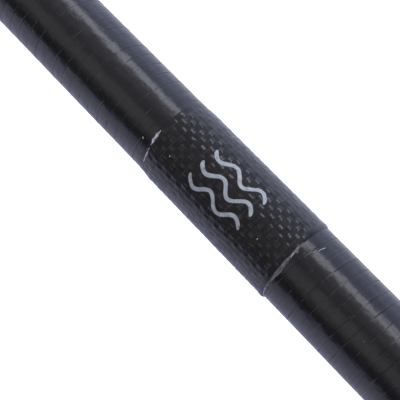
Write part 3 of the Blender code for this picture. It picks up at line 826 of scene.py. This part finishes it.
def blade_material():
    """Gloss-lacquered plain-weave skin, the weave worked out from the blade's own plane."""
    material, tree = new_material("blade_carbon")
    parts = node(tree, "SeparateXYZ", {0: own_point(tree)}).outputs
    wander = noise(tree, 14.0, 2.0, 0.5)
    u = maths(tree, "DIVIDE", parts[0], BLADE_TOW)
    v = maths(tree, "DIVIDE", parts[1], BLADE_TOW)
    u = maths(tree, "ADD", u, ramp(tree, wander, 0.3, 0.7, -1.0, 1.0, False))
    v = maths(tree, "ADD", v, ramp(tree, wander, 0.3, 0.7, 0.8, -0.8, False))
    crosswise, own = weave_cells(tree, u, v)
    across_u = maths(tree, "PINGPONG", u, 1.0)
    across_v = maths(tree, "PINGPONG", v, 1.0)
    crown = maths(tree, "PINGPONG", mix(tree, crosswise, across_v, across_u, "FLOAT"), 0.5)
    fibres = noise(tree, (500, 500, 500))
    light = blend(tree, fibres, 0.3, 0.7, (0.016, 0.0155, 0.016), (0.032, 0.031, 0.032))
    dark = blend(tree, fibres, 0.3, 0.7, (0.0045, 0.0045, 0.005), (0.010, 0.0098, 0.0105))
    tone = maths(tree, "MULTIPLY_ADD", own, 0.35, times(tree, crosswise, 0.65))
    colour = mix(tree, tone, light, dark)
    sheets = noise(tree, (7, 16, 10), 2.0, 0.5)
    colour = blend(tree, sheets, 0.35, 0.65, colour, (0.020, 0.020, 0.022), 0.35)
    scratches = ramp(tree, noise(tree, (60, 1500, 300), 4.0, 0.7), 0.60, 0.72)
    near_tip = ramp(tree, parts[0], TIP_STATION - 0.30, TIP_STATION - 0.01, 0.05, 0.75)
    scratched = times(tree, scratches, near_tip)
    colour = mix(tree, scratched, colour, (0.085, 0.086, 0.090))
    waves = bump(tree, noise(tree, 45.0, 2.0, 0.5), 0.35 * MM, 0.7)
    normal = bump(tree, ramp(tree, crown, 0.0, 0.5), 0.06 * MM, 0.8, waves)
    surface(tree, colour, between(tree, crosswise, 0.26, 0.40), normal, 0.45)
    whole = ramp(tree, scratched, 0.0, 0.6, 0.85, 0.25)
    shading(tree, {"Coat Weight": whole, "Coat Normal": waves, "Coat Roughness": 0.10, "Coat IOR": COAT_IOR})
    return material


# ------------------------ other pieces

SHARP_EDGE = 32
SHARP_INNER_EDGE = 35
FLAT_ANGLE = math.radians(0.8)


def refined(name, cad_node, material, body, slot, width, segments=2):
    """Stands a copy of a CAD node in its place, its flat faces whole, its edges rounded by width (mm)."""
    source = bpy.data.objects[cad_node]
    work = bmesh.new()
    work.from_mesh(source.data)
    bmesh.ops.transform(work, matrix=source.matrix_world, verts=work.verts)
    bmesh.ops.remove_doubles(work, verts=work.verts, dist=2e-6)
    bmesh.ops.dissolve_limit(work, angle_limit=FLAT_ANGLE, verts=work.verts, edges=work.edges)
    bmesh.ops.recalc_face_normals(work, faces=work.faces)
    mesh = bpy.data.meshes.new(name)
    work.to_mesh(mesh)
    work.free()
    shade(mesh, SHARP_EDGE)
    piece = place(name, mesh, material, body, slot, cad_node)
    if width:
        bevel = piece.modifiers.new("rounded", "BEVEL")
        bevel.width = width * MM
        bevel.segments = segments
        bevel.limit_method = "ANGLE"
        bevel.angle_limit = math.radians(SHARP_EDGE)
        bevel.harden_normals = True


def dressed(cad_node, material):
    """Gives a CAD node that stays a finished material."""
    mesh = bpy.data.objects[cad_node].data
    mesh.materials.clear()
    mesh.materials.append(material)
    shade(mesh, SHARP_INNER_EDGE)


# name, darker and lighter tint, least and most roughness, size and depth of the grain
PLASTICS = (
    ("sleeve_plastic", (0.010, 0.010, 0.011), (0.018, 0.018, 0.019), 0.42, 0.58, 2200.0, 0.05 * MM),
    ("collar_plastic", (0.028, 0.030, 0.034), (0.042, 0.044, 0.049), 0.38, 0.52, 1500.0, 0.06 * MM),
    ("plate_plastic", (0.50, 0.48, 0.41), (0.60, 0.58, 0.51), 0.35, 0.55, 1200.0, 0.03 * MM),
    ("cap_plastic", (0.012, 0.012, 0.014), (0.021, 0.021, 0.023), 0.45, 0.60, 1800.0, 0.06 * MM),
    ("bead_plastic", (0.42, 0.42, 0.40), (0.55, 0.55, 0.52), 0.40, 0.60, 900.0, 0.05 * MM),
)
# name, two tints, least and most roughness, scale of the marks along each axis, their depth
METALS = (
    ("clamp_alloy", (0.36, 0.37, 0.39), (0.46, 0.47, 0.49), 0.34, 0.48, (900, 900, 900), 0.03 * MM),
    ("steel", (0.52, 0.52, 0.53), (0.64, 0.64, 0.66), 0.20, 0.36, (500, 500, 4000), 0.02 * MM),
)
sleeve_plastic, collar_plastic, plate_plastic, cap_plastic, bead_plastic = (
    moulded_material(*row) for row in PLASTICS
)
alloy, steel = (metal_material(*row) for row in METALS)
foam = foam_material()
inner_carbon = plain_carbon_material("inner_carbon")

# piece, CAD node, material, body, slot, rounding of the edges in millimetres, its segments
REFINED = (
    ("sleeve", "oar_sleeve", sleeve_plastic, "oar", "sleeve", 0.35),
    ("drive_plate", "drive_wear_plate", plate_plastic, "oar", "wear_plate", 0.30),
    ("feather_plate", "feather_wear_plate", plate_plastic, "oar", "wear_plate", 0.30),
    ("collar", "collar_ring", collar_plastic, "collar", "collar", 0.35),
    ("collar_washer_steel", "collar_washer", steel, "collar", "steel", 0.12),
    ("collar_nut_steel", "collar_nut", steel, "collar", "steel", 0.25),
    ("collar_bolt_steel", "collar_bolt", steel, "collar_bolt", "steel", 0.15),
    ("clamp_ring", "handle_clamp_ring", alloy, "oar", "clamp_alloy", 0.25),
    ("clamp_washer_steel", "handle_clamp_washer", steel, "oar", "steel", 0.12),
    ("clamp_nut_steel", "handle_clamp_nut", steel, "oar", "steel", 0.22),
    ("clamp_bolt_steel", "handle_clamp_bolt", steel, "handle_clamp_bolt", "steel", 0.13),
    ("end_cap", "handle_end_cap", cap_plastic, "handle", "end_cap", 0.45, 3),
    ("tip_bead", "blade_tip_edge", bead_plastic, "oar", "tip_edge", 0.0),
)
for row in REFINED:
    refined(*row)
for inner in ("inboard_foam_plug", "outboard_foam_plug", "blade_core", "handle_foam_plug"):
    dressed(inner, foam)
for inner in ("joint_spigot", "neck_spigot"):
    dressed(inner, inner_carbon)


def turned_mesh(name, profile, columns):
    """Turns a closed profile of (station, radius) points about the tube's axis."""
    profile = np.array([*profile, profile[0]])
    x, angle = np.meshgrid(profile[:, 0], np.linspace(0, FULL_TURN, columns + 1), indexing="ij")
    points = on_tube(x, angle, profile[:, 1:]).reshape(-1, 3)
    return finish_mesh(array_mesh(name, points, grid_quads(len(profile), columns + 1)), sharp=50.0)


# The handle's tube, polished, with printed rings that come out of the shaft as the handle is lengthened
HANDLE_WALL = 1.4 * MM
HANDLE_EDGE = 0.2 * MM
RINGS_FROM_GRIP = 6 * MM
low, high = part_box("handle_tube")
handle_radius = (high.z - low.z) / 2
handle_bore = handle_radius - HANDLE_WALL
profile = [(low.x, handle_bore), (low.x, handle_radius - HANDLE_EDGE)]
profile += [(x, handle_radius) for x in np.linspace(low.x + HANDLE_EDGE, high.x - HANDLE_EDGE, 60)]
profile += [(high.x, handle_radius - HANDLE_EDGE), (high.x, handle_bore)]
handle_mesh = turned_mesh("handle_tube_carbon", profile, 72)
handle_carbon = plain_carbon_material("handle_carbon", span("rubber_grip")[1] + RINGS_FROM_GRIP)
place("handle_tube_carbon", handle_mesh, handle_carbon, "handle", "shaft_carbon", "handle_tube")

# The grip: moulded rings round it, and a plain bead at each end
GRIP_RING_PITCH = 3.5 * MM
GRIP_RING_DEPTH = 0.65 * MM
GRIP_FLARE = 1.2 * MM
GRIP_SWELL = 0.7 * MM
GRIP_BEAD = 4 * MM
GRIP_ROUNDING = 0.8 * MM
GRIP_CLEARANCE = 0.1 * MM
low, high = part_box("rubber_grip")
bore = handle_radius + GRIP_CLEARANCE
most = (high.z - low.z) / 2
length = high.x - low.x
profile = [(high.x, bore), (low.x, bore)]
for x in np.linspace(low.x, high.x, int(length / GRIP_RING_PITCH * 10) + 1):
    # the CAD grip's own swell, and its flare towards the end cap
    share = (x - low.x) / length
    flare = ease((0.12 - share) / 0.12) * GRIP_FLARE
    radius = most - GRIP_FLARE + GRIP_SWELL * np.sin(math.pi * share) + flare
    from_end = min(x - low.x, high.x - x)
    groove = 0.5 + 0.5 * math.cos(FULL_TURN * (x - low.x) / GRIP_RING_PITCH)
    groove = groove**2.5 * ease((from_end - GRIP_BEAD) / (2 * MM))
    rounded = GRIP_ROUNDING * ease(1 - from_end / (1.0 * MM))
    profile.append((x, float(radius - groove * GRIP_RING_DEPTH - rounded)))
place("grip", turned_mesh("grip", profile, 96), rubber_material(), "handle", "grip_rubber", "rubber_grip")


# ------------------------ blade, of the CAD part's outline

BLADE_LENGTH = TIP_STATION - NECK_STATION
NECK_FLANGE = 1.2 * MM
SKIN = 0.8 * MM
SEAM = 0.02 * MM
CORE_LENS = 2.2 * MM
BLADE_DROP = 39.54 * MM
DROP_POWER = 1.6
BLADE_CAMBER = 8.0 * MM
CORNER_BELOW = 48.0 * MM
WIDENS_FROM = 0.02
# each side's direction from the axis, its reach, its corner's radius, and how far along it is full width
BLADE_SIDES = ((-1, 145.0 * MM, CORNER_BELOW, 0.62), (1, 70.0 * MM, 26.0 * MM, 0.60))
NECK_STRAIGHT = 0.045
RIB_END = 0.74
FACE_RIB_END = 0.27
RIM_ROUNDING = 0.9 * MM
RIM_STEPS = (0.0, 0.06 * MM, 0.2 * MM, 0.45 * MM, 0.9 * MM)


def blade_edges(share):
    """The outline's two edges, measured from the axis along Y, at a share of the blade's length."""
    flange = NECK_RADIUS + NECK_FLANGE
    from_tip = (1 - share) * BLADE_LENGTH
    edges = []
    for side, reach, corner, grown in BLADE_SIDES:
        width = flange + (reach - flange) * ease((share - WIDENS_FROM) / grown)
        into_corner = np.maximum(corner - from_tip, 0.0)
        edges.append(side * (width - corner + np.sqrt(corner**2 - into_corner**2)))
    return edges


def middle_height(share, y):
    low, high = blade_edges(np.minimum(share, 1 - CORNER_BELOW / BLADE_LENGTH))
    across = (y - (low + high) / 2) / ((high - low) / 2)
    drop = BLADE_DROP * np.maximum(share - NECK_STRAIGHT, 0.0) ** DROP_POWER
    return -drop - BLADE_CAMBER * ease(share / 0.6) * across**2


def blade_mesh(name, side, fade):
    """One skin, its outside and inside, with a rounded rim. side is 1 for the back and -1 for the face."""
    inner_shares = (1 - np.cos(np.linspace(0, math.pi, 150))) / 2
    inner_shares = inner_shares[inner_shares < 1 - RIM_ROUNDING / BLADE_LENGTH]
    share = np.concatenate([inner_shares, 1 - np.array(RIM_STEPS[::-1]) / BLADE_LENGTH])[:, None]
    low, high = blade_edges(share)
    fading = ease((share - NECK_STRAIGHT) / (fade - NECK_STRAIGHT))
    half_width = NECK_RADIUS * (1 - 0.45 * ease((share - NECK_STRAIGHT) / RIB_END))
    rib_rise = (NECK_RADIUS - SKIN - SEAM / 2) * (1 - fading)
    round_angle = np.linspace(0, math.pi, 41)
    flat = np.linspace(0, 1, 18)[None, :-1]
    rims = np.array(RIM_STEPS)[None, :]
    surfaces = []
    for depth in (0.0, SKIN):
        # from the edge inwards: the rounded rim, the flat, the rib's arch, and the same again
        half = half_width - depth
        left = low + rims
        right = high - rims[:, ::-1]
        left_flat = left[:, -1:] + (-half - left[:, -1:]) * flat[:, 1:]
        right_flat = half + (right[:, :1] - half) * (1 - flat[:, :0:-1])
        y = np.concatenate([left, left_flat, -half * np.cos(round_angle), right_flat, right], 1)
        arch_share = 1 - (np.clip(y / half, -1, 1)) ** 2
        power = 0.5 + 0.8 * ease((share - NECK_STRAIGHT) / 0.30)
        arch = arch_share**power
        across = (y - (low + high) / 2) / ((high - low) / 2)
        ends = ease((share - 0.10) / 0.20) * ease((0.99 - share) / 0.12)
        lens = CORE_LENS * ends * np.maximum(1 - across**2, 0.0)
        from_rim = np.minimum(np.minimum(y - low, high - y), (1 - share) * BLADE_LENGTH)
        whole = np.clip(from_rim / RIM_ROUNDING, 0, 1)
        thick = (SKIN - depth) * (0.45 + 0.55 * np.sqrt(1 - (1 - whole) ** 2))
        height = side * (lens + thick + SEAM / 2 + np.maximum(rib_rise - depth, 0.0) * arch)
        x = NECK_STATION + share * BLADE_LENGTH
        surfaces.append(stacked(x, AXIS_Y + y, AXIS_Z + middle_height(share, y) + height))
    rows, columns = surfaces[0].shape[:2]
    cells = grid_quads(rows, columns)
    count = rows * columns
    ring = np.concatenate([
        np.arange(columns),
        np.arange(2, rows + 1) * columns - 1,
        (rows - 1) * columns + np.arange(columns - 2, -1, -1),
        np.arange(rows - 2, -1, -1) * columns,
    ])
    rim = np.stack([ring[:-1], ring[1:], ring[1:] + count, ring[:-1] + count], -1)
    points = np.concatenate([surface.reshape(-1, 3) for surface in surfaces])
    quads = np.concatenate([cells, cells[:, ::-1] + count, rim])
    return finish_mesh(array_mesh(name, points, quads), merge=1e-7, sharp=45.0)


blade_carbon = blade_material()
BLADE_SKINS = (
    ("blade_back", 1, RIB_END, "blade_back_skin"),
    ("blade_face", -1, FACE_RIB_END, "blade_face_skin"),
)
for name, side, fade, cad_node in BLADE_SKINS:
    place(name, blade_mesh(name, side, fade), blade_carbon, "oar", "blade_skin", cad_node)

# ------------------------ stage

WHITE = (1.0, 1.0, 1.0)
FLOOR_HALF = 60.0
FLOOR_GLOW = (1.0, 1.06, 1.75)
FLOOR_GLOW_SEEN = (1.0, 1.01, 1.05)


def floor_material():
    """Pale paper that lights the object from below and looks white to the camera."""
    material, tree = new_material("studio_floor")
    colour = mix(tree, noise(tree, 3.0, 4.0, 0.5), (0.78, 0.79, 0.82), (0.82, 0.83, 0.86))
    surface(tree, colour, 0.9, specular=0.1)
    seen = node(tree, "LightPath").outputs["Is Camera Ray"]
    glow = mix(tree, seen, FLOOR_GLOW, FLOOR_GLOW_SEEN)
    shading(tree, {"Emission Color": glow, "Emission Strength": between(tree, seen, 0.215, 0.84)})
    return material


corners = [(x * FLOOR_HALF, y * FLOOR_HALF, 0) for x, y in ((-1, -1), (1, -1), (1, 1), (-1, 1))]
floor_mesh = bpy.data.meshes.new("floor")
floor_mesh.from_pydata(corners, [], [(0, 1, 2, 3)])
floor_mesh.materials.append(floor_material())
floor = add_object("floor", floor_mesh)

# The camera's axes: to its right, up, and backwards from what it looks at
CAMERA_RIGHT = Vector((-0.67044, -0.74196, 0.0)).normalized()
CAMERA_BACK = Vector((-0.26825, 0.24239, 0.93236)).normalized()
CAMERA_UP = CAMERA_BACK.cross(CAMERA_RIGHT).normalized()
CAMERA_LENS = 101.97
CAMERA_DISTANCE = 0.4252
AIM_STATION = 0.0078
AIM_RIGHT = 0.00764
AIM_UP = 0.00562

aim = Vector((AIM_STATION, AXIS_Y, AXIS_Z))
camera_data = bpy.data.cameras.new("camera")
camera_data.lens = CAMERA_LENS
camera_data.sensor_width = 36.0
camera_data.clip_start = 0.01
camera_data.clip_end = 200.0
camera = add_object("camera", camera_data)
turn = Matrix((CAMERA_RIGHT, CAMERA_UP, CAMERA_BACK)).transposed().to_4x4()
centre = aim - CAMERA_RIGHT * AIM_RIGHT - CAMERA_UP * AIM_UP
camera.matrix_world = Matrix.Translation(centre + CAMERA_BACK * CAMERA_DISTANCE) @ turn
bpy.context.scene.camera = camera

# A long softbox, whose reflection is the streak along the tube
STREAK_ANGLE = math.radians(36.5)
STREAK_TURN = math.radians(-14.0)
STREAK_ALONG = 0.278
STREAK_ROUND = 0.96
away = Vector((0, -math.sin(STREAK_ANGLE), math.cos(STREAK_ANGLE)))
STREAK = (away * STREAK_ROUND + Vector((STREAK_ALONG, 0, 0))).normalized()
LIGHT_DISTANCE = 1.2
LIGHT_RADIANCE = 3.6
light_data = bpy.data.lights.new("softbox", "AREA")
light_data.shape = "RECTANGLE"
light_data.size = 4.0
light_data.size_y = 0.35
light_data.color = (0.88, 0.90, 1.0)
light_data.energy = LIGHT_RADIANCE * light_data.size * light_data.size_y * math.pi
light = add_object("softbox", light_data)
across = Matrix.Rotation(STREAK_TURN, 3, away) @ Vector((1, 0, 0))
light.matrix_world = Matrix.Translation(aim + STREAK * LIGHT_DISTANCE) @ Matrix(
    (across, away.cross(across), away)
).transposed().to_4x4()
light.visible_camera = False

world = bpy.data.worlds.new("studio")
bpy.context.scene.world = world
world.use_nodes = True
tree = world.node_tree
tree.nodes.clear()
direction = node(tree, "TexCoord").outputs["Generated"]
parts = node(tree, "SeparateXYZ", {0: direction}).outputs
angle = maths(tree, "ARCTAN2", times(tree, parts[1], -1.0), parts[2])
share = maths(tree, "MULTIPLY_ADD", angle, 1 / FULL_TURN, 0.5)
# degrees from straight up, counted towards -Y, and the light that comes from there
SKY = (
    (-82, (0.07, 0.07, 0.08)),
    (-68, (0.10, 0.10, 0.11)),
    (-58, (0.36, 0.36, 0.39)),
    (-48, (0.70, 0.68, 0.74)),
    (-28, (0.67, 0.65, 0.73)),
    (-17, (0.30, 0.28, 0.34)),
    (-4, (0.40, 0.40, 0.46)),
    (12, (0.58, 0.56, 0.60)),
    (60, (0.78, 0.87, 1.24)),
    (80, (1.02, 1.13, 1.62)),
    (96, (1.42, 1.54, 2.14)),
)
colours = node(tree, "ValToRGB", {0: share})
elements = colours.color_ramp.elements
for index, (degrees, colour) in enumerate(SKY):
    position = degrees / 360 + 0.5
    element = elements[index] if index < 2 else elements.new(position)
    element.position = position
    element.color = (*colour, 1.0)
# the studio is darker towards its two ends, which shows the relief along the tube
off_end = maths(tree, "ABSOLUTE", maths(tree, "SUBTRACT", parts[0], STREAK.x))
fall = ramp(tree, off_end, 0.22, 0.85, 1.06, 0.5)
lit = node(tree, "VectorMath", {0: colours.outputs[0]}, operation="SCALE")
put(tree, lit.inputs["Scale"], fall)
seen = node(tree, "LightPath").outputs["Is Camera Ray"]
shown = mix(tree, seen, lit.outputs[0], WHITE)
background = node(tree, "Background", {0: shown, 1: 1.0})
node(tree, "OutputWorld", {0: background.outputs[0]})

settings = bpy.context.scene.view_settings
settings.view_transform = "Standard"
settings.look = "None"
